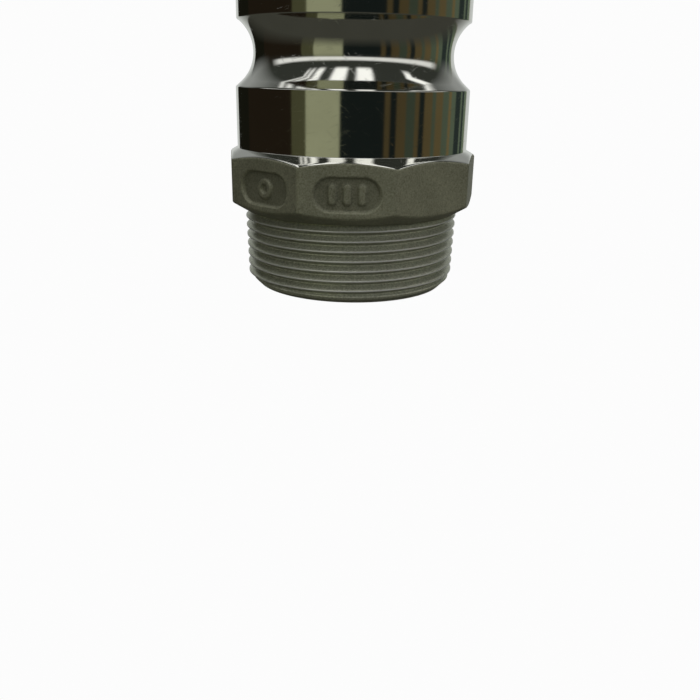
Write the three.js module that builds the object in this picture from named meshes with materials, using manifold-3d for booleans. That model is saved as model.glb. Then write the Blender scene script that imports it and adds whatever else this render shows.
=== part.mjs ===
// 2-1/2 inch cam-and-groove adapter, Type F: male cam groove above, male taper pipe thread below.
// The real part is one stainless-steel investment casting that is then turned and threaded,
// so the model is one closed solid. Millimetres, +Z up along the bore, thread end at z = 0.
import * as THREE from 'three';
import { mergeVertices } from 'three/addons/utils/BufferGeometryUtils.js';
import Module from 'manifold-3d';

// Bore and overall length
const BORE_R = 30.0;
const BORE_CHAMFER = 0.6;
const OVERALL_LENGTH = 101.0;

// Male taper pipe thread, 2-1/2 - 8 NPT, right-hand
const PITCH = 25.4 / 8;
const THREAD_CREST_R = 35.8;
const TAPER_PER_MM = 1 / 32;
const CREST_FLAT = 0.40;
const ROOT_FLAT = 0.15;
const FLANK_WIDTH = (PITCH - CREST_FLAT - ROOT_FLAT) / 2;
const THREAD_DEPTH = FLANK_WIDTH / Math.tan(THREE.MathUtils.degToRad(30));
const FIRST_CREST_Z = 4.6;
const THREAD_END_R = 32.4;
const THREAD_TOP_Z = 24.6;
const RELIEF_R = 34.0;

// Nine-sided wrench section
const SIDES = 9;
const APOTHEM = 40.9;
const VERTEX_ROUND = 2.2;
const WRENCH_BOTTOM_Z = 25.6;
const WRENCH_BOTTOM_R = 36.5;
const BOTTOM_CONE_SLOPE = 0.59;
const WRENCH_TOP_Z = 44.7;
const TOP_CONE_SLOPE = 0.56;
const FACET_ANGLE = THREE.MathUtils.degToRad(-4.0);
const FACET_STEP = 2 * Math.PI / SIDES;

// Recessed panels on two neighbouring flats, with plain raised marks
const PANEL_LENGTH = 20.8;
const PANEL_HEIGHT = 10.7;
const PANEL_DEPTH = 1.0;
const PANEL_Z = 35.45;
const MARK_RISE = 0.75;
const BAR_WIDTH = 2.4;
const BAR_HEIGHT = 6.2;
const BAR_SPACING = 4.6;
const RING_OUTER_R = 3.1;
const RING_INNER_R = 1.3;
const ROOT_OVERLAP = 0.3;
const CUT_MARGIN = 1.0;

// Turned collar, cam groove and head
const COLLAR_R = 38.7;
const COLLAR_FILLET = 0.4;
const COLLAR_TOP_Z = 64.6;
const SHOULDER_ROUND = 0.8;
const SHOULDER_LENGTH = 2.3;
const SHOULDER_ANGLE = THREE.MathUtils.degToRad(48);
const GROOVE_ROUND = 12.0;
const HEAD_R = 37.9;
const NOSE_CHAMFER_R = 2.4;
const NOSE_CHAMFER_Z = 3.2;

// Tessellation
const TURN_SEGMENTS = 64;
const SMALL_ARC_SEGMENTS = 3;
const GROOVE_SEGMENTS = 14;
const STADIUM_SEGMENTS = 8;

const wasm = await Module();
wasm.setup();

function toSolid(geometry) {
  const shell = geometry.clone();
  shell.deleteAttribute('normal');
  shell.deleteAttribute('uv');
  const merged = mergeVertices(shell, 1e-5);
  return new wasm.Manifold(new wasm.Mesh({
    numProp: 3,
    vertProperties: new Float32Array(merged.attributes.position.array),
    triVerts: new Uint32Array(merged.index.array),
  }));
}

function toGeometry(solid) {
  const { vertProperties, triVerts } = solid.getMesh();
  const geometry = new THREE.BufferGeometry();
  geometry.setAttribute('position', new THREE.BufferAttribute(vertProperties, 3));
  geometry.setIndex(new THREE.BufferAttribute(triVerts, 1));
  geometry.computeVertexNormals();
  return geometry;
}

// Solid of revolution about Z from a closed outline of [radius, z] points, counter-clockwise.
function turned(outline) {
  const points = [...outline, outline[0]].map(([radius, z]) => new THREE.Vector2(radius, z));
  return toSolid(new THREE.LatheGeometry(points, TURN_SEGMENTS).rotateX(Math.PI / 2));
}

function arc(centreR, centreZ, radius, fromAngle, toAngle, segments) {
  return Array.from({ length: segments + 1 }, (_, i) => {
    const angle = THREE.MathUtils.lerp(fromAngle, toAngle, i / segments);
    return [centreR + radius * Math.cos(angle), centreZ + radius * Math.sin(angle)];
  });
}

function bored(outerOutline, bottomZ, topZ, chamfer) {
  return turned([
    [BORE_R + chamfer, bottomZ],
    ...outerOutline,
    [BORE_R + chamfer, topZ],
    [BORE_R, topZ - chamfer],
    [BORE_R, bottomZ + chamfer],
  ]);
}

// Frame on a flat, at a distance from the bore's axis: X runs along the flat, Y up and Z outward.
// Flat 0 faces close to -Y, and the numbers grow towards +X.
function facetFrame(index, distance, z) {
  const azimuth = FACET_ANGLE + index * FACET_STEP;
  const normal = new THREE.Vector3(Math.sin(azimuth), -Math.cos(azimuth), 0);
  const along = new THREE.Vector3(Math.cos(azimuth), Math.sin(azimuth), 0);
  const frame = new THREE.Matrix4().makeBasis(along, new THREE.Vector3(0, 0, 1), normal);
  return frame.setPosition(normal.clone().multiplyScalar(distance).setZ(z));
}

// Rod with a full-length helical thread: every column of the grid holds the four corners of each
// turn, and one trip round the rod carries a corner up by one turn.
function threadedRod(bottomZ, turns) {
  const corners = [
    [0, 0],
    [CREST_FLAT, 0],
    [CREST_FLAT + FLANK_WIDTH, -THREAD_DEPTH],
    [PITCH - FLANK_WIDTH, -THREAD_DEPTH],
  ];
  const rows = turns * corners.length;
  const positions = [];
  for (let column = 0; column < TURN_SEGMENTS; column++) {
    const turn = column / TURN_SEGMENTS;
    const angle = 2 * Math.PI * turn - Math.PI / 2;
    for (let row = 0; row < rows + corners.length; row++) {
      const [offset, depth] = corners[row % corners.length];
      const z = bottomZ + PITCH * (Math.floor(row / corners.length) + turn) + offset;
      const radius = THREAD_CREST_R + z * TAPER_PER_MM + depth;
      positions.push(radius * Math.cos(angle), radius * Math.sin(angle), z);
    }
  }
  const perColumn = rows + corners.length;
  const vertex = (column, row) => (column < TURN_SEGMENTS
    ? column * perColumn + row
    : row + corners.length);
  const faces = [];
  for (let column = 0; column < TURN_SEGMENTS; column++) {
    for (let row = 0; row < rows - 1; row++) {
      const [a, b] = [vertex(column, row), vertex(column + 1, row)];
      const [c, d] = [vertex(column + 1, row + 1), vertex(column, row + 1)];
      faces.push(a, b, c, a, c, d);
    }
  }
  // Each end closes on a centre point, over the helical edge and the step where it began.
  const closeEnd = (row, centreZ, flip) => {
    const rim = Array.from({ length: TURN_SEGMENTS + 1 }, (_, column) => vertex(column, row));
    for (let step = corners.length - 1; step > 0; step--) rim.push(vertex(0, row + step));
    const centre = positions.push(0, 0, centreZ) / 3 - 1;
    rim.forEach((from, i) => {
      const to = rim[(i + 1) % rim.length];
      faces.push(...(flip ? [centre, to, from] : [centre, from, to]));
    });
  };
  closeEnd(0, bottomZ + PITCH / 2, true);
  closeEnd(rows - 1, bottomZ + PITCH * turns, false);
  const geometry = new THREE.BufferGeometry();
  geometry.setAttribute('position', new THREE.Float32BufferAttribute(positions, 3));
  geometry.setIndex(faces);
  return toSolid(geometry);
}

// Threaded spigot: the rod trimmed by a chamfered start, a run-out and a relief under the flats.
function threadedSpigot() {
  const startCone = THREAD_CREST_R + CUT_MARGIN - THREAD_END_R;
  const topCrestR = THREAD_CREST_R + THREAD_TOP_Z * TAPER_PER_MM;
  const blank = bored([
    [THREAD_END_R, 0],
    [THREAD_END_R + startCone, startCone],
    [topCrestR, THREAD_TOP_Z],
    [RELIEF_R, WRENCH_BOTTOM_Z],
    [RELIEF_R, WRENCH_BOTTOM_Z + ROOT_OVERLAP],
  ], 0, WRENCH_BOTTOM_Z + ROOT_OVERLAP, BORE_CHAMFER);
  const bottomTurns = 3;
  const totalTurns = 13;
  const bottomZ = FIRST_CREST_Z - CREST_FLAT / 2 - bottomTurns * PITCH;
  return threadedRod(bottomZ, totalTurns).intersect(blank);
}

function polygonPrism(height) {
  const shape = new THREE.Shape();
  const cornerRadius = (APOTHEM - VERTEX_ROUND) / Math.cos(FACET_STEP / 2);
  for (let i = 0; i < SIDES; i++) {
    const azimuth = FACET_ANGLE - Math.PI / 2 + (i + 0.5) * FACET_STEP;
    const x = cornerRadius * Math.cos(azimuth);
    const y = cornerRadius * Math.sin(azimuth);
    shape.absarc(x, y, VERTEX_ROUND, azimuth - FACET_STEP / 2, azimuth + FACET_STEP / 2, false);
  }
  return toSolid(new THREE.ExtrudeGeometry(shape, {
    depth: height,
    bevelEnabled: false,
    curveSegments: SMALL_ARC_SEGMENTS,
  }));
}

// Wrench section: the polygon between two turned cones, which leave scalloped edges on the flats.
function wrenchSection() {
  const outsideR = APOTHEM / Math.cos(FACET_STEP / 2) + CUT_MARGIN;
  const coneTop = (radius) => WRENCH_TOP_Z - (radius - APOTHEM) * TOP_CONE_SLOPE;
  const coneAngle = Math.PI / 2 - Math.atan(TOP_CONE_SLOPE);
  const filletR = COLLAR_R + COLLAR_FILLET;
  const filletZ = coneTop(filletR) + COLLAR_FILLET / Math.sin(coneAngle);
  const outline = [
    [WRENCH_BOTTOM_R, WRENCH_BOTTOM_Z],
    [outsideR, WRENCH_BOTTOM_Z + (outsideR - WRENCH_BOTTOM_R) * BOTTOM_CONE_SLOPE],
    [outsideR, coneTop(outsideR)],
    ...arc(filletR, filletZ, COLLAR_FILLET, Math.PI + coneAngle, Math.PI, SMALL_ARC_SEGMENTS),
  ];
  const cones = bored(outline, WRENCH_BOTTOM_Z, filletZ, 0);
  return cones.intersect(polygonPrism(filletZ + CUT_MARGIN));
}

// Collar, cam groove and head, up to the sealing face.
function turnedHead() {
  const shoulderR = COLLAR_R - SHOULDER_ROUND;
  const span = SHOULDER_ROUND + GROOVE_ROUND;
  const [inward, upward] = [Math.sin(SHOULDER_ANGLE), Math.cos(SHOULDER_ANGLE)];
  const grooveR = shoulderR + span * upward - SHOULDER_LENGTH * inward;
  const grooveZ = COLLAR_TOP_Z + span * inward + SHOULDER_LENGTH * upward;
  const headAngle = Math.acos((grooveR - HEAD_R) / GROOVE_ROUND);
  const startZ = WRENCH_TOP_Z - ROOT_OVERLAP;
  const outline = [
    [COLLAR_R, startZ],
    ...arc(shoulderR, COLLAR_TOP_Z, SHOULDER_ROUND, 0, SHOULDER_ANGLE, SMALL_ARC_SEGMENTS),
    ...arc(grooveR, grooveZ, GROOVE_ROUND, Math.PI + SHOULDER_ANGLE, Math.PI - headAngle,
      GROOVE_SEGMENTS),
    [HEAD_R, OVERALL_LENGTH - NOSE_CHAMFER_Z],
    [HEAD_R - NOSE_CHAMFER_R, OVERALL_LENGTH],
  ];
  return bored(outline, startZ, OVERALL_LENGTH, BORE_CHAMFER);
}

function stadium(length, height) {
  const radius = height / 2;
  const reach = length / 2 - radius;
  const shape = new THREE.Shape();
  shape.absarc(reach, 0, radius, -Math.PI / 2, Math.PI / 2, false);
  shape.absarc(-reach, 0, radius, Math.PI / 2, 3 * Math.PI / 2, false);
  return shape;
}

function annulus(outerR, innerR) {
  const shape = new THREE.Shape();
  shape.absarc(0, 0, outerR, 0, 2 * Math.PI, false);
  const hole = new THREE.Path();
  hole.absarc(0, 0, innerR, 0, 2 * Math.PI, true);
  shape.holes.push(hole);
  return shape;
}

function onFacet(shape, index, distance, depth, shift = 0, turn = 0) {
  const geometry = new THREE.ExtrudeGeometry(shape, {
    depth,
    bevelEnabled: false,
    curveSegments: STADIUM_SEGMENTS,
  });
  geometry.rotateZ(turn).translate(shift, 0, 0);
  return toSolid(geometry.applyMatrix4(facetFrame(index, distance, PANEL_Z)));
}

function panelRecess(index) {
  const shape = stadium(PANEL_LENGTH, PANEL_HEIGHT);
  return onFacet(shape, index, APOTHEM - PANEL_DEPTH, PANEL_DEPTH + CUT_MARGIN);
}

function raisedMark(shape, index, shift = 0, turn = 0) {
  const base = APOTHEM - PANEL_DEPTH - ROOT_OVERLAP;
  return onFacet(shape, index, base, MARK_RISE + ROOT_OVERLAP, shift, turn);
}

function adapterBody() {
  let body = threadedSpigot().add(wrenchSection()).add(turnedHead());
  const widePanel = 0;
  const smallPanel = -1;
  body = body.subtract(panelRecess(widePanel)).subtract(panelRecess(smallPanel));
  for (const step of [-1, 0, 1]) {
    const bar = stadium(BAR_HEIGHT, BAR_WIDTH);
    body = body.add(raisedMark(bar, widePanel, step * BAR_SPACING, Math.PI / 2));
  }
  return body.add(raisedMark(annulus(RING_OUTER_R, RING_INNER_R), smallPanel));
}

const stainlessSteel = new THREE.MeshStandardMaterial({
  color: 0x9a978c,
  metalness: 1,
  roughness: 0.32,
});

const adapter = new THREE.Mesh(toGeometry(adapterBody()), stainlessSteel);
adapter.name = 'adapter_body';

const part = new THREE.Group();
part.add(adapter);

export default part;
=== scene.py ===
"""Visual model of a 2-1/2 inch cam-and-groove adapter (Type F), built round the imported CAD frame.

The adapter is one stainless casting, so the fine mesh is one closed piece with a material for each
finish: polished turning, bead-blasted casting, cut thread and machined bore.
Profile sizes are in millimetres, as (radius, height above the threaded end)."""

import math
import random

import bpy
import numpy as np
from mathutils import Matrix, Vector


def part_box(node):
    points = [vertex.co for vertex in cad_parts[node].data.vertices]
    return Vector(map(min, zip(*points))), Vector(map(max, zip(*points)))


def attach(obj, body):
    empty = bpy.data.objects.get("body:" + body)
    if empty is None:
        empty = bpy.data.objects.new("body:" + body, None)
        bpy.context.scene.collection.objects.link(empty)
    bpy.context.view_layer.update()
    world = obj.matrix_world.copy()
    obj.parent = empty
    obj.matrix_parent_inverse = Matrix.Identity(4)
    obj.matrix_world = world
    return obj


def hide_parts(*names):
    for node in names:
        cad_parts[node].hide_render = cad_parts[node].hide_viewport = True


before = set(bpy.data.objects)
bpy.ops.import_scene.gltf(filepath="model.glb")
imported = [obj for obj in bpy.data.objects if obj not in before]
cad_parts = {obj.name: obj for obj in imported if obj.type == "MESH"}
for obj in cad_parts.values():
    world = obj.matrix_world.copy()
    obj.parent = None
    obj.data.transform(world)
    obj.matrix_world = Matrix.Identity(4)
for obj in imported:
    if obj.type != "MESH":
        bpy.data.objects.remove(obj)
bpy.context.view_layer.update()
body_low, body_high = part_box("adapter_body")

MM = 0.001
BASE = Vector((0, 0, body_low.z))
LENGTH = (body_high.z - body_low.z) / MM

# Bore
BORE_R = 30.0
BORE_CHAMFER = 0.6

# Taper pipe thread
PITCH = 25.4 / 8
CREST_R = 35.8
TAPER = 1 / 32
CREST_FLAT = 0.40
ROOT_FLAT = 0.15
FLANK = (PITCH - CREST_FLAT - ROOT_FLAT) / 2
DEPTH = FLANK / math.tan(math.radians(30))
FIRST_CREST_Z = 4.6
END_R = 32.4
THREAD_TOP_Z = 24.6
RUNOUT_R = 34.0

# Nine-sided wrench section
SIDES = 9
STEP = 2 * math.pi / SIDES
APOTHEM = 40.9
VERTEX_ROUND = 2.2
FACET_ANGLE = math.radians(-4.0)
WRENCH_BOTTOM_Z = 25.6
WRENCH_BOTTOM_R = 36.5
BOTTOM_SLOPE = 0.59
WRENCH_TOP_Z = 44.7
TOP_SLOPE = 0.56

# Recessed panels
PANEL_LENGTH = 20.8
PANEL_HEIGHT = 10.7
PANEL_DEPTH = 1.0
PANEL_Z = 35.45
PANEL_WALL = 0.55
MARK_RISE = 0.75
MARK_WALL = 0.6
BAR_WIDTH = 2.4
BAR_HEIGHT = 6.2
BAR_SPACING = 4.6
RING_R = 2.2
RING_WIDTH = 1.8
WIDE_FACET = 0
SMALL_FACET = SIDES - 1

# Collar, groove and head
COLLAR_R = 38.7
COLLAR_FILLET = 0.4
COLLAR_TOP_Z = 64.6
SHOULDER_ROUND = 0.8
SHOULDER_LENGTH = 2.3
SHOULDER_ANGLE = math.radians(48)
GROOVE_ROUND = 12.0
HEAD_R = 37.9
HEAD_EDGE = 0.5
EDGE_ROUND = 0.35
NOSE_CHAMFER_R = 2.4
NOSE_CHAMFER_Z = 3.2

# Mesh density
PANEL_COLUMNS = 84
PLAIN_COLUMNS = 16
CORNER_COLUMNS = 4
FLAT_ROWS = 54
FILLET_ROWS = 8

POLISHED, CAST, THREAD, BORE = range(4)

# Two light tool marks that cross every turn of the thread
NICK_AZIMUTH = math.radians(50.7)
NICK_STEP = math.radians(12)
NICK_LEAN = 5.0

# The camera and the studio stand this far round from -Y
VIEW_TURN = math.radians(-2.3)
CAMERA_DISTANCE = 267.8
CAMERA_HEIGHT = 69.25
CAMERA_YAW = 0.0024
CAMERA_DIP = 0.3485
CAMERA_ROLL = 0.019
SENSOR_WIDTH = 36.0
LENS = 39.019

# What the steel mirrors: tall panels in plain tones, each from its start in degrees, 0 towards the
# camera and growing towards +X, and then a run of narrow stripes
PALE_WALL = (0.58, 0.60, 0.58)
SHADOW = (0.008, 0.008, 0.005)
BROWN = (0.014, 0.010, 0.006)
OLIVE = (0.06, 0.06, 0.03)
BEIGE = (0.28, 0.29, 0.18)
TEAL = (0.008, 0.011, 0.010)
WARM = (0.06, 0.045, 0.02)
COOL = (0.035, 0.045, 0.03)
PANELS = [
    (-180, PALE_WALL),
    (-150, SHADOW),
    (-120, BROWN),
    (-60, OLIVE),
    (-45, BEIGE),
    (-12, TEAL),
]
STRIPES_START, STRIPES_END = 30, 145
STRIPE_WIDTHS = (3, 11)
STRIPE_GAIN = 3.0
STRIPE_SEED = 4
PANEL_BLEND = 0.7
CEILING = (0.035, 0.038, 0.032)
BACK_WALL = (0.30, 0.31, 0.30)
GROUND = (0.05, 0.05, 0.04)
# Long lamps overhead, as (middle, half width) across the view, and a low strip lamp in front of them
LAMP = (1.2, 1.2, 1.17)
LAMP_SPREAD = 0.9
STRIP_RISE = (0.26, 0.32)
STRIP_FALL = (0.40, 0.46)
STRIP_STRENGTH = 0.7
LAMPS = (
    (-0.605, 0.015),
    (-0.53, 0.02),
    (-0.415, 0.045),
    (-0.16, 0.076),
    (0.105, 0.085),
    (0.73, 0.07),
)
LAMP_HEIGHT = (0.66, 0.76)
PALE = (0.975, 0.975, 0.975)


# ---------------------------------------------------------------- camera

def make_camera():
    """Looks down 20 degrees at the flat with the wide panel, from just above the collar's top."""
    around = Vector((math.sin(VIEW_TURN), -math.cos(VIEW_TURN), 0))
    eye = BASE + (around * CAMERA_DISTANCE + Vector((0, 0, CAMERA_HEIGHT))) * MM
    yaw = CAMERA_YAW - VIEW_TURN
    forward = Vector((
        math.sin(yaw) * math.cos(CAMERA_DIP),
        math.cos(yaw) * math.cos(CAMERA_DIP),
        -math.sin(CAMERA_DIP),
    ))
    side = forward.cross(Vector((0, 0, 1))).normalized()
    up = side.cross(forward)
    right = side * math.cos(CAMERA_ROLL) + up * math.sin(CAMERA_ROLL)
    up = right.cross(forward)
    data = bpy.data.cameras.new("camera")
    data.sensor_width = SENSOR_WIDTH
    data.lens = LENS
    data.clip_start, data.clip_end = 0.01, 50
    camera = bpy.data.objects.new("camera", data)
    camera.matrix_world = Matrix.Translation(eye) @ Matrix((
        (right.x, up.x, -forward.x),
        (right.y, up.y, -forward.y),
        (right.z, up.z, -forward.z),
    )).to_4x4()
    bpy.context.scene.collection.objects.link(camera)
    bpy.context.scene.camera = camera


# ---------------------------------------------------------------- shape
# A profile point is (radius, height, outward normal's radial part, its upward part).

def smoothstep(x):
    x = np.clip(x, 0, 1)
    return x * x * (3 - 2 * x)


def arc(centre_r, centre_z, radius, start, end, count, concave=False):
    side = -1 if concave else 1
    points = []
    for angle in np.linspace(start, end, count + 1):
        c, s = math.cos(angle), math.sin(angle)
        points.append((centre_r + radius * c, centre_z + radius * s, side * c, side * s))
    return points


def line(start, end, count):
    run, rise = end[0] - start[0], end[1] - start[1]
    length = math.hypot(run, rise)
    return [
        (start[0] + run * i / count, start[1] + rise * i / count, rise / length, -run / length)
        for i in range(count + 1)
    ]


def column_angles():
    """Azimuths round the part, 0 at -Y and growing towards +X: close together on the flats with
    panels and at the rounded corners, further apart on the plain flats."""
    half = STEP / 2
    corner = math.radians(1.6)
    angles = []
    for k in range(SIDES):
        steps = PANEL_COLUMNS if k in (WIDE_FACET, SMALL_FACET) else PLAIN_COLUMNS
        edge = np.linspace(-half, -half + corner, CORNER_COLUMNS + 1)[:-1]
        middle = np.linspace(-half + corner, half - corner, steps + 1)
        centre = FACET_ANGLE + k * STEP
        angles.extend(centre + np.concatenate([edge, middle, -edge[:0:-1]]))
    return np.array(angles)


def across_flat(azimuth):
    """Angle from the middle of the nearest flat."""
    return (azimuth - FACET_ANGLE + STEP / 2) % STEP - STEP / 2


def polygon_radius(azimuth):
    """Distance from the axis to the polygon with rounded corners, at each azimuth."""
    offset = across_flat(azimuth)
    centre = (APOTHEM - VERTEX_ROUND) / math.cos(STEP / 2)
    away = STEP / 2 - np.abs(offset)
    side = centre * np.sin(away)
    reach = centre * np.cos(away) + np.sqrt(np.maximum(VERTEX_ROUND**2 - side**2, 0))
    on_corner = side < VERTEX_ROUND * math.sin(STEP / 2) * 1.05
    return np.where(on_corner, reach, APOTHEM / np.cos(offset))


def inside_stadium(x, z, length, height):
    """Distance inside a stadium whose long side runs along x, negative outside it."""
    radius = height / 2
    return radius - np.hypot(np.maximum(np.abs(x) - (length / 2 - radius), 0), z)


def panel_depth(azimuth, z):
    """How far the two panels, less their raised marks, sink below the flats."""
    depth = np.zeros_like(z)
    for facet in (WIDE_FACET, SMALL_FACET):
        offset = (azimuth - FACET_ANGLE - facet * STEP + math.pi) % (2 * math.pi) - math.pi
        near = np.abs(offset) < STEP / 2
        x = APOTHEM * np.tan(np.where(near, offset, 0))
        up = z - PANEL_Z
        recess = inside_stadium(x, up, PANEL_LENGTH, PANEL_HEIGHT)
        if facet == WIDE_FACET:
            mark = np.max([
                inside_stadium(up, x - i * BAR_SPACING, BAR_HEIGHT, BAR_WIDTH)
                for i in (-1, 0, 1)
            ], axis=0)
        else:
            mark = RING_WIDTH / 2 - np.abs(np.hypot(x, up) - RING_R)
        sunk = PANEL_DEPTH * smoothstep(recess / PANEL_WALL)
        raised = MARK_RISE * smoothstep(mark / MARK_WALL + 0.5)
        depth += np.where(near, sunk - raised, 0)
    return depth


def thread_radius(azimuth, z):
    """Radius of the threaded spigot: helical ridges on a cone, trimmed at both ends."""
    phase = (z - FIRST_CREST_Z) / PITCH - azimuth / (2 * math.pi)
    away = np.abs((phase + 0.5) % 1 - 0.5) * PITCH
    ridge = CREST_R + z * TAPER - np.clip((away - CREST_FLAT / 2) / FLANK, 0, 1) * DEPTH
    start = END_R + z
    top_crest_r = CREST_R + THREAD_TOP_Z * TAPER
    runout_slope = (top_crest_r - RUNOUT_R) / (WRENCH_BOTTOM_Z - THREAD_TOP_Z)
    runout = RUNOUT_R + (WRENCH_BOTTOM_Z - z) * runout_slope
    return np.minimum(np.minimum(ridge, start), runout)


def thread_rows(azimuths):
    """Heights of rows that climb with the helix, so crest and root edges lie along rows."""
    edge = 0.05
    half_crest, half_root = CREST_FLAT / 2, ROOT_FLAT / 2
    up = [half_crest - edge, half_crest + edge, half_crest + 0.35 * FLANK,
          half_crest + 0.7 * FLANK, PITCH / 2 - half_root - edge]
    stops = [0, *up, PITCH / 2, *(PITCH - z for z in reversed(up))]
    laps_below = 4
    laps = 12
    turn = azimuths / (2 * math.pi)
    rows = [
        np.clip(FIRST_CREST_Z + PITCH * (lap - laps_below + turn) + stop, 0, WRENCH_BOTTOM_Z)
        for lap in range(laps)
        for stop in stops
    ]
    return rows, len(stops)


def wrench_rows(azimuths):
    """Wrench section: underside cone, flats with their panels, top cone and the fillet to the collar."""
    outer = polygon_radius(azimuths)
    bottom = WRENCH_BOTTOM_Z + (outer - WRENCH_BOTTOM_R) * BOTTOM_SLOPE
    cone_angle = math.pi / 2 - math.atan(TOP_SLOPE)
    cone_normal = (math.cos(cone_angle), math.sin(cone_angle))
    fillet_r = COLLAR_R + COLLAR_FILLET
    fillet_z = (WRENCH_TOP_Z - (fillet_r - APOTHEM) * TOP_SLOPE
                + COLLAR_FILLET / math.sin(cone_angle))
    tangent_r = fillet_r - COLLAR_FILLET * cone_normal[0]

    def top_z(radius):
        cone = WRENCH_TOP_Z - (radius - APOTHEM) * TOP_SLOPE
        away = fillet_r - np.minimum(radius, fillet_r)
        fillet = fillet_z - np.sqrt(np.maximum(COLLAR_FILLET**2 - away**2, 0))
        return np.where(radius > tangent_r, cone, fillet)

    rows = [ring(azimuths, RUNOUT_R, WRENCH_BOTTOM_Z, THREAD)]
    for t in (0.0, 0.3, 0.6, 0.9):
        radius = WRENCH_BOTTOM_R + (outer - WRENCH_BOTTOM_R) * t
        z = WRENCH_BOTTOM_Z + (bottom - WRENCH_BOTTOM_Z) * t
        rows.append((radius, z, CAST if t else THREAD, None))
    rim = top_z(outer)
    for t in np.linspace(0, 1, FLAT_ROWS + 1):
        z = bottom + (rim - bottom) * t
        near_end = np.clip(1 - np.minimum(z - bottom, rim - z) / EDGE_ROUND, 0, 1)
        rounded = EDGE_ROUND * (1 - np.sqrt(1 - near_end**2)) / 2
        sink = panel_depth(azimuths, z) / np.cos(across_flat(azimuths))
        rows.append((outer - rounded - sink, z, CAST, None))
    inset = np.minimum(EDGE_ROUND, (outer - COLLAR_R) / 2)
    inner = np.minimum(outer - inset, tangent_r)
    for t in (0, 0.25, 0.5, 0.75):
        radius = (outer - inset) * (1 - t) + inner * t
        rows.append((radius, top_z(radius), POLISHED, cone_normal if t else None))
    sweep = np.arccos((fillet_r - inner) / COLLAR_FILLET)
    for t in np.linspace(0, 1, FILLET_ROWS + 1):
        angle = sweep * (1 - t)
        radius = fillet_r - COLLAR_FILLET * np.cos(angle)
        z = fillet_z - COLLAR_FILLET * np.sin(angle)
        rows.append((radius, z, POLISHED, (np.cos(angle), np.sin(angle))))
    return rows, fillet_z


def turned_profile(fillet_z):
    """Collar, groove, head and sealing face."""
    shoulder_r = COLLAR_R - SHOULDER_ROUND
    span = SHOULDER_ROUND + GROOVE_ROUND
    inward, upward = math.sin(SHOULDER_ANGLE), math.cos(SHOULDER_ANGLE)
    groove_r = shoulder_r + span * upward - SHOULDER_LENGTH * inward
    groove_z = COLLAR_TOP_Z + span * inward + SHOULDER_LENGTH * upward
    edge = (shoulder_r + SHOULDER_ROUND * upward, COLLAR_TOP_Z + SHOULDER_ROUND * inward)
    slope_end = (edge[0] - SHOULDER_LENGTH * inward, edge[1] + SHOULDER_LENGTH * upward)
    head_angle = math.acos((groove_r - HEAD_R + HEAD_EDGE) / GROOVE_ROUND)
    lip_z = groove_z + GROOVE_ROUND * math.sin(head_angle)
    nose_z = LENGTH - NOSE_CHAMFER_Z
    nose_r = HEAD_R - NOSE_CHAMFER_R
    blunt = 0.15
    return (
        line((COLLAR_R, fillet_z), (COLLAR_R, COLLAR_TOP_Z), 6)[1:]
        + arc(shoulder_r, COLLAR_TOP_Z, SHOULDER_ROUND, 0, SHOULDER_ANGLE, 12)[1:]
        + line(edge, slope_end, 4)[1:]
        + arc(groove_r, groove_z, GROOVE_ROUND, math.pi + SHOULDER_ANGLE,
              math.pi - head_angle, 36, concave=True)[1:]
        + arc(HEAD_R - HEAD_EDGE, lip_z + HEAD_EDGE, HEAD_EDGE, -0.9, 0, 4)
        + line((HEAD_R, lip_z + 2 * HEAD_EDGE), (HEAD_R, nose_z - blunt), 5)
        + line((HEAD_R - blunt, nose_z + blunt), (nose_r + blunt, LENGTH - 1.3 * blunt), 3)
        + line((nose_r - blunt, LENGTH), (BORE_R + BORE_CHAMFER + blunt, LENGTH), 4)
    )


def bore_profile():
    """Bore chamfers and the bore, from the sealing face down to the threaded end."""
    blunt = 0.1
    return (
        line((BORE_R + BORE_CHAMFER, LENGTH - blunt / 2),
             (BORE_R + blunt / 2, LENGTH - BORE_CHAMFER + blunt / 2), 1)
        + line((BORE_R, LENGTH - BORE_CHAMFER - blunt), (BORE_R, BORE_CHAMFER + blunt), 20)
        + line((BORE_R + blunt / 2, BORE_CHAMFER - blunt / 2),
               (BORE_R + BORE_CHAMFER, blunt / 2), 1)
        + line((BORE_R + BORE_CHAMFER + blunt, 0), (END_R, 0), 2)
    )


def ring(azimuths, radius, z, finish, normal=None):
    return np.full_like(azimuths, radius), np.full_like(azimuths, z), finish, normal


def turned(azimuths, profile, finish):
    return [ring(azimuths, r, z, finish, (out, up)) for r, z, out, up in profile]


def place(azimuths, radius, z):
    """Points in metres from azimuth, radius and height."""
    around = np.stack([np.sin(azimuths), -np.cos(azimuths), np.zeros_like(azimuths)], axis=-1)
    up = np.array([0, 0, 1])
    return np.array(BASE) + (around * radius[:, None] + up * z[:, None]) * MM


def lean(azimuths, normal):
    """Unit normals all round a turned row, or blanks where the mesh gives them."""
    if normal is None:
        return np.full((len(azimuths), 3), np.nan)
    out, up = normal
    return np.stack([out * np.sin(azimuths), -out * np.cos(azimuths), up + 0 * azimuths], axis=-1)


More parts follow.
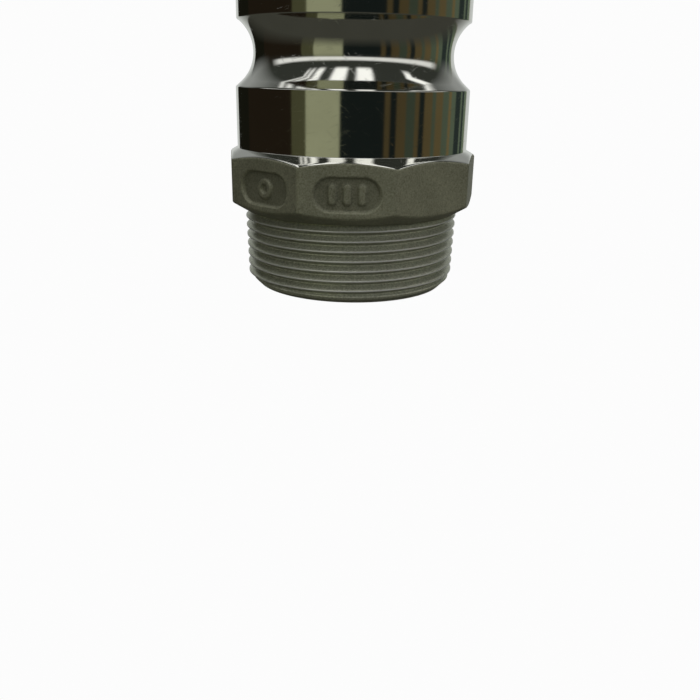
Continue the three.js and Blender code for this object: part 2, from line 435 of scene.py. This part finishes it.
def adapter_grid():
    """Points, normals, faces and finishes of the thread's climbing rows and the level rows above,
    which share the same columns. Rows that were clipped at an end lie on top of each other."""
    azimuths = column_angles()
    columns = len(azimuths)
    climbing, per_turn = thread_rows(azimuths)
    rows, fillet_z = wrench_rows(azimuths)
    rows += turned(azimuths, turned_profile(fillet_z), POLISHED)
    rows += turned(azimuths, bore_profile(), BORE)

    points = [place(azimuths, thread_radius(azimuths, z), z) for z in climbing]
    normals = [lean(azimuths, None)] * len(climbing)
    faces, finishes = [], []
    for row in range(len(climbing) - 1):
        for column in range(columns):
            low = row * columns + column
            right = low + 1
            if column == columns - 1:
                right = (row + per_turn) * columns
                if row + per_turn + 1 >= len(climbing):
                    continue
            faces.append((low, right, right + columns, low + columns))
            finishes.append(THREAD)
    here = np.arange(columns)
    following = np.roll(here, -1)
    for i, (radius, z, finish, normal) in enumerate(rows):
        points.append(place(azimuths, radius, z))
        normals.append(lean(azimuths, normal))
        if i:
            high = (len(points) - 1) * columns
            low = high - columns
            faces.extend(zip(low + here, low + following, high + following, high + here))
            finishes.extend([finish] * columns)
    return np.concatenate(points), np.concatenate(normals), faces, finishes


def weld(points, normals, faces, finishes):
    """Merges points that lie on each other, and drops the faces that this flattens."""
    _, first, merged = np.unique(np.round(points, 8), axis=0, return_index=True,
                                 return_inverse=True)
    merged = merged.reshape(-1)
    kept_faces, kept_finishes = [], []
    for face, finish in zip(faces, finishes):
        corners = [int(merged[corner]) for corner in face]
        corners = [c for i, c in enumerate(corners) if c != corners[i - 1]]
        if len(corners) >= 3 and len(set(corners)) == len(corners):
            kept_faces.append(corners)
            kept_finishes.append(finish)
    return points[first], normals[first], kept_faces, kept_finishes


def make_adapter(materials):
    points, normals, faces, finishes = weld(*adapter_grid())
    mesh = bpy.data.meshes.new("adapter")
    mesh.from_pydata(points.tolist(), [], faces)
    for material in materials:
        mesh.materials.append(material)
    mesh.polygons.foreach_set("material_index", finishes)
    mesh.polygons.foreach_set("use_smooth", [True] * len(faces))
    mesh.update()
    smooth = np.zeros(len(points) * 3)
    mesh.vertex_normals.foreach_get("vector", smooth)
    blank = np.isnan(normals)
    normals[blank] = smooth.reshape(-1, 3)[blank]
    mesh.normals_split_custom_set_from_vertices(normals.tolist())
    adapter = bpy.data.objects.new("adapter", mesh)
    bpy.context.scene.collection.objects.link(adapter)
    return adapter


# ---------------------------------------------------------------- materials

class Nodes:
    """Short calls for building one node tree."""

    def __init__(self, tree):
        self.tree = tree
        tree.nodes.clear()

    def add(self, kind, **values):
        node = self.tree.nodes.new(kind)
        for name, value in values.items():
            setattr(node, name, value)
        return node

    def feed(self, socket, value):
        if isinstance(value, bpy.types.NodeSocket):
            self.tree.links.new(value, socket)
        elif value is not None:
            socket.default_value = value

    def math(self, operation, a, b=None, c=None, clamp=False):
        node = self.add("ShaderNodeMath", operation=operation, use_clamp=clamp)
        for socket, value in zip(node.inputs, (a, b, c)):
            self.feed(socket, value)
        return node.outputs[0]

    def combine(self, x, y, z):
        node = self.add("ShaderNodeCombineXYZ")
        for socket, value in zip(node.inputs, (x, y, z)):
            self.feed(socket, value)
        return node.outputs[0]

    def separate(self, vector):
        node = self.add("ShaderNodeSeparateXYZ")
        self.feed(node.inputs[0], vector)
        return node.outputs

    def noise(self, vector, scale, detail=2.0, roughness=0.5):
        node = self.add("ShaderNodeTexNoise")
        self.feed(node.inputs["Vector"], vector)
        self.feed(node.inputs["Scale"], scale)
        self.feed(node.inputs["Detail"], detail)
        self.feed(node.inputs["Roughness"], roughness)
        return node.outputs["Fac"]

    def remap(self, value, low, high, to_low=0.0, to_high=1.0, smooth=False):
        node = self.add("ShaderNodeMapRange", clamp=True)
        if smooth:
            node.interpolation_type = "SMOOTHSTEP"
        for socket, v in zip(node.inputs, (value, low, high, to_low, to_high)):
            self.feed(socket, v)
        return node.outputs[0]

    def mix(self, factor, a, b):
        node = self.add("ShaderNodeMix", data_type="RGBA")
        self.feed(node.inputs["Factor"], factor)
        self.feed(node.inputs["A"], colour(a) if isinstance(a, tuple) else a)
        self.feed(node.inputs["B"], colour(b) if isinstance(b, tuple) else b)
        return node.outputs["Result"]

    def bump(self, height, distance, strength=1.0, normal=None):
        node = self.add("ShaderNodeBump")
        self.feed(node.inputs["Height"], height)
        self.feed(node.inputs["Distance"], distance)
        self.feed(node.inputs["Strength"], strength)
        self.feed(node.inputs["Normal"], normal)
        return node.outputs[0]


def colour(rgb):
    return (*rgb, 1.0)


def unwrapped(n):
    """Millimetres along the circumference, millimetres up, and the radius in millimetres."""
    position = n.add("ShaderNodeTexCoord").outputs["Object"]
    x, y, z = n.separate(position)
    azimuth = n.math("ARCTAN2", x, n.math("MULTIPLY", y, -1.0))
    radius = n.math("MULTIPLY", n.math("SQRT", n.math("ADD", n.math("MULTIPLY", x, x),
                                                      n.math("MULTIPLY", y, y))), 1 / MM)
    height = n.math("MULTIPLY", n.math("SUBTRACT", z, BASE.z), 1 / MM)
    return position, n.math("MULTIPLY", azimuth, COLLAR_R), height, radius


def metal(name, metallic=1.0):
    material = bpy.data.materials.new(name)
    material.use_nodes = True
    n = Nodes(material.node_tree)
    shader = n.add("ShaderNodeBsdfPrincipled")
    shader.inputs["Metallic"].default_value = metallic
    output = n.add("ShaderNodeOutputMaterial")
    n.tree.links.new(shader.outputs[0], output.inputs["Surface"])
    return material, n, shader.inputs


def scratches(n, along, up, angle, spacing, width, seed):
    """Thin straight hairlines at one angle, broken up so that each is a few millimetres long."""
    c, s = math.cos(angle), math.sin(angle)
    run = n.math("ADD", n.math("MULTIPLY", along, c), n.math("MULTIPLY", up, s))
    across = n.math("SUBTRACT", n.math("MULTIPLY", up, c), n.math("MULTIPLY", along, s))
    field = n.noise(n.combine(n.math("MULTIPLY", run, 0.05), n.math("DIVIDE", across, spacing),
                              seed), 1.0, 1.0)
    hairline = n.remap(n.math("ABSOLUTE", n.math("SUBTRACT", field, 0.5)), 0.0, width, 1.0, 0.0)
    patch = n.noise(n.combine(n.math("MULTIPLY", run, 0.22), n.math("DIVIDE", across, 1.3),
                              seed + 7.0), 1.0, 1.0)
    return n.math("MULTIPLY", hairline, n.remap(patch, 0.58, 0.68, smooth=True))


def polished_steel():
    material, n, inputs = metal("polished_stainless")
    position, along, up, radius = unwrapped(n)
    turning = n.noise(n.combine(n.math("MULTIPLY", along, 0.02), n.math("MULTIPLY", up, 14.0),
                                n.math("MULTIPLY", radius, 14.0)), 1.0, 3.0)
    haze = n.noise(position, 90.0, 3.0)
    marks = n.math("MAXIMUM", scratches(n, along, up, 0.42, 1.3, 0.006, 1.0),
                   scratches(n, along, up, 0.15, 1.5, 0.005, 4.0))
    marks = n.math("MAXIMUM", marks, scratches(n, along, up, -0.75, 2.0, 0.005, 9.0))
    rough = n.math("ADD", n.remap(haze, 0.35, 0.7, 0.035, 0.075), n.math("MULTIPLY", turning, 0.03))
    n.feed(inputs["Roughness"], n.math("ADD", rough, n.math("MULTIPLY", marks, 0.16), clamp=True))
    n.feed(inputs["Base Color"], n.mix(n.remap(haze, 0.3, 0.75), (0.80, 0.80, 0.76),
                                       (0.73, 0.73, 0.69)))
    normal = n.bump(turning, 0.0000022)
    n.feed(inputs["Normal"], n.bump(marks, 0.000005, normal=normal))
    return material


def cast_steel():
    material, n, inputs = metal("blasted_casting", 0.5)
    position, along, _, radius = unwrapped(n)
    grain = n.noise(position, 1900.0, 4.0, 0.65)
    pits = n.noise(position, 900.0, 3.0, 0.6)
    cloud = n.noise(position, 60.0, 4.0, 0.6)
    tone = n.math("ADD", n.math("MULTIPLY", grain, 0.7), n.math("MULTIPLY", cloud, 0.3))
    # Painted shade: the panel recesses are darkened by their depth, mixing up to 28 per cent towards
    # near black on their floors, while the raised marks keep the skin tone
    facing = n.math("WRAP", n.math("DIVIDE", along, COLLAR_R), FACET_ANGLE - STEP / 2,
                    FACET_ANGLE + STEP / 2)
    distance = n.math("MULTIPLY", radius, n.math("COSINE", n.math("SUBTRACT", facing, FACET_ANGLE)))
    recess = n.remap(n.math("SUBTRACT", APOTHEM, distance), 0.25, 0.95, 1.0, 0.72)
    skin = n.mix(n.remap(tone, 0.36, 0.64), (0.21, 0.215, 0.155), (0.46, 0.46, 0.34))
    n.feed(inputs["Base Color"], n.mix(recess, (0.06, 0.06, 0.045), skin))
    n.feed(inputs["Roughness"], n.remap(grain, 0.35, 0.65, 0.46, 0.64))
    rough_skin = n.bump(pits, 0.00006, 0.5)
    n.feed(inputs["Normal"], n.bump(grain, 0.00004, 0.6, normal=rough_skin))
    return material


def cut_thread():
    material, n, inputs = metal("cut_thread", 0.6)
    position, along, up, radius = unwrapped(n)
    depth = n.math("SUBTRACT", n.math("ADD", n.math("MULTIPLY", up, TAPER), CREST_R), radius)
    turn = n.math("DIVIDE", along, 2 * math.pi * COLLAR_R)
    phase = n.math("SUBTRACT", n.math("DIVIDE", n.math("SUBTRACT", up, FIRST_CREST_Z), PITCH), turn)
    phase = n.math("FRACT", phase)
    tool_lines = n.noise(n.combine(n.math("MULTIPLY", along, 0.05), n.math("MULTIPLY", phase, 40.0),
                                   n.math("MULTIPLY", depth, 6.0)), 1.0, 3.0)
    grain = n.noise(position, 1500.0, 3.0, 0.6)
    # Painted shade: the lower flank under each crest is darkened up to 70 per cent towards near black,
    # unevenly, and made rougher there
    shade_patches = n.noise(position, 70.0, 3.0)
    underside = n.math("MULTIPLY", n.remap(phase, 0.50, 0.60), n.remap(phase, 0.88, 0.94, 1.0, 0.0))
    flank_shade = n.math("MULTIPLY", underside, n.remap(shade_patches, 0.3, 0.7, 0.65, 1.0))
    body = n.mix(n.remap(grain, 0.35, 0.65), (0.52, 0.54, 0.43), (0.78, 0.80, 0.66))
    # Painted highlight: the crests, fading out 0.15 mm below them, turn towards near white
    body = n.mix(n.remap(depth, 0.0, 0.15, 1.0, 0.0), body, (0.95, 0.96, 0.94))
    streak = None
    for start in (NICK_AZIMUTH, NICK_AZIMUTH + NICK_STEP):
        centre = n.math("SUBTRACT", start * COLLAR_R, n.math("MULTIPLY", phase, NICK_LEAN))
        away = n.math("ABSOLUTE", n.math("SUBTRACT", along, centre))
        line_mask = n.remap(away, 0.08, 0.42, 1.0, 0.0, smooth=True)
        streak = line_mask if streak is None else n.math("MAXIMUM", streak, line_mask)
    streak = n.math("MULTIPLY", streak, n.remap(phase, 0.45, 0.6, 1.0, 0.0))
    streak = n.math("MULTIPLY", streak, n.remap(grain, 0.3, 0.6, 0.4, 1.0))
    body = n.mix(n.math("MULTIPLY", streak, 0.7), body, (0.80, 0.80, 0.70))
    n.feed(inputs["Base Color"], n.mix(n.math("MULTIPLY", flank_shade, 0.7), body, (0.10, 0.10, 0.075)))
    rough = n.math("ADD", n.remap(tool_lines, 0.3, 0.7, 0.28, 0.42), n.math("MULTIPLY", flank_shade, 0.15))
    n.feed(inputs["Roughness"], rough)
    lines = n.bump(tool_lines, 0.00002, 0.7)
    n.feed(inputs["Normal"], n.bump(grain, 0.00003, 0.5, normal=lines))
    return material


def bored_steel():
    material, n, inputs = metal("bored_stainless")
    position, along, up, radius = unwrapped(n)
    turning = n.noise(n.combine(n.math("MULTIPLY", along, 0.03), n.math("MULTIPLY", up, 9.0),
                                n.math("MULTIPLY", radius, 9.0)), 1.0, 3.0)
    cloud = n.noise(position, 60.0, 3.0)
    n.feed(inputs["Base Color"], n.mix(n.remap(cloud, 0.3, 0.7), (0.56, 0.56, 0.51),
                                       (0.67, 0.67, 0.62)))
    n.feed(inputs["Roughness"], n.remap(turning, 0.3, 0.7, 0.20, 0.36))
    n.feed(inputs["Normal"], n.bump(turning, 0.00002, 0.8))
    return material


# ---------------------------------------------------------------- studio

def wall_panels():
    """The broad panels, then stripes that turn paler towards the side, then the pale wall again."""
    draw = random.Random(STRIPE_SEED)
    panels = list(PANELS)
    start = STRIPES_START
    while start < STRIPES_END:
        along = (start - STRIPES_START) / (STRIPES_END - STRIPES_START)
        tint = draw.choice((WARM, COOL, TEAL))
        panels.append((start, tuple(part * (1 + STRIPE_GAIN * along**2) for part in tint)))
        start += draw.uniform(*STRIPE_WIDTHS)
    return [*panels, (STRIPES_END, PALE_WALL)]


def make_world():
    """Plain pale surroundings for the camera. The part itself mirrors a dim room with tall panels
    all round, long lamps overhead and a low strip lamp, which give polished steel its bands."""
    world = bpy.data.worlds.new("studio")
    bpy.context.scene.world = world
    world.use_nodes = True
    n = Nodes(world.node_tree)
    direction = n.add("ShaderNodeTexCoord").outputs["Generated"]
    x, y, z = n.separate(direction)
    azimuth = n.math("ARCTAN2", x, n.math("MULTIPLY", y, -1.0))
    around = n.math("MULTIPLY", n.math("SUBTRACT", azimuth, VIEW_TURN), 180 / math.pi)
    (_, walls), *others = wall_panels()
    for start, rgb in others:
        past = n.remap(around, start - PANEL_BLEND, start + PANEL_BLEND)
        walls = n.mix(past, walls, rgb)

    front = n.math("MULTIPLY", n.math("MAXIMUM", n.math("MULTIPLY", y, -1.0), 0.0), LAMP_SPREAD)
    plane = n.math("MAXIMUM", n.math("ADD", z, front), 0.05)
    sideways = n.math("DIVIDE", x, plane)
    lamps = None
    for centre, half_width in LAMPS:
        away = n.math("ABSOLUTE", n.math("SUBTRACT", sideways, centre))
        lamp = n.remap(away, half_width - 0.02, half_width + 0.02, 1.0, 0.0)
        lamps = lamp if lamps is None else n.math("MAXIMUM", lamps, lamp)
    height = n.remap(z, *LAMP_HEIGHT)
    behind = n.remap(n.math("DIVIDE", y, n.math("MAXIMUM", z, 0.05)), 0.55, 0.75, 1.0, 0.0)
    lamps = n.math("MULTIPLY", lamps, n.math("MULTIPLY", height, behind))

    strip = n.math("MULTIPLY", n.remap(z, *STRIP_RISE), n.remap(z, *STRIP_FALL, 1.0, 0.0))
    strip = n.math("MULTIPLY", strip, n.remap(y, 0.1, 0.3, 1.0, 0.0))
    ceiling = n.mix(n.remap(z, 0.15, 0.5), walls, CEILING)
    ceiling = n.mix(n.math("MULTIPLY", strip, STRIP_STRENGTH), ceiling, LAMP)
    back = n.math("MULTIPLY", n.remap(y, 0.35, 0.8), n.remap(z, 0.12, 0.35))
    ceiling = n.mix(back, ceiling, BACK_WALL)
    room = n.mix(n.remap(z, -0.12, -0.5), ceiling, GROUND)
    lit = n.mix(lamps, room, LAMP)
    seen = n.add("ShaderNodeLightPath").outputs["Is Camera Ray"]
    plain = n.add("ShaderNodeBackground")
    n.feed(plain.inputs["Color"], colour(PALE))
    studio = n.add("ShaderNodeBackground")
    n.feed(studio.inputs["Color"], lit)
    either = n.add("ShaderNodeMixShader")
    n.feed(either.inputs[0], seen)
    n.tree.links.new(studio.outputs[0], either.inputs[1])
    n.tree.links.new(plain.outputs[0], either.inputs[2])
    output = n.add("ShaderNodeOutputWorld")
    n.tree.links.new(either.outputs[0], output.inputs["Surface"])


def soft_light(name, location, target, size, watts):
    data = bpy.data.lights.new(name, "AREA")
    data.shape = "RECTANGLE"
    data.size, data.size_y = size
    data.energy = watts
    light = bpy.data.objects.new(name, data)
    light.location = location
    light.rotation_mode = "QUATERNION"
    light.rotation_quaternion = (Vector(target) - Vector(location)).to_track_quat("-Z", "Y")
    light.visible_camera = False
    light.visible_glossy = False
    bpy.context.scene.collection.objects.link(light)


make_camera()
adapter = make_adapter([polished_steel(), cast_steel(), cut_thread(), bored_steel()])
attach(adapter, "root")
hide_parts("adapter_body")
make_world()
soft_light("overhead", (0, -0.1, 1.2), (0, 0, 0), (0.5, 0.5), 3.4)
soft_light("side_fill", (0.7, -0.6, 0.25), (0, 0, 0.035), (0.5, 0.5), 1.3)
soft_light("front_fill", (-0.15, -0.9, 0.35), (0, 0, 0.035), (0.5, 0.5), 0.3)
bpy.context.scene.view_settings.view_transform = "Standard"
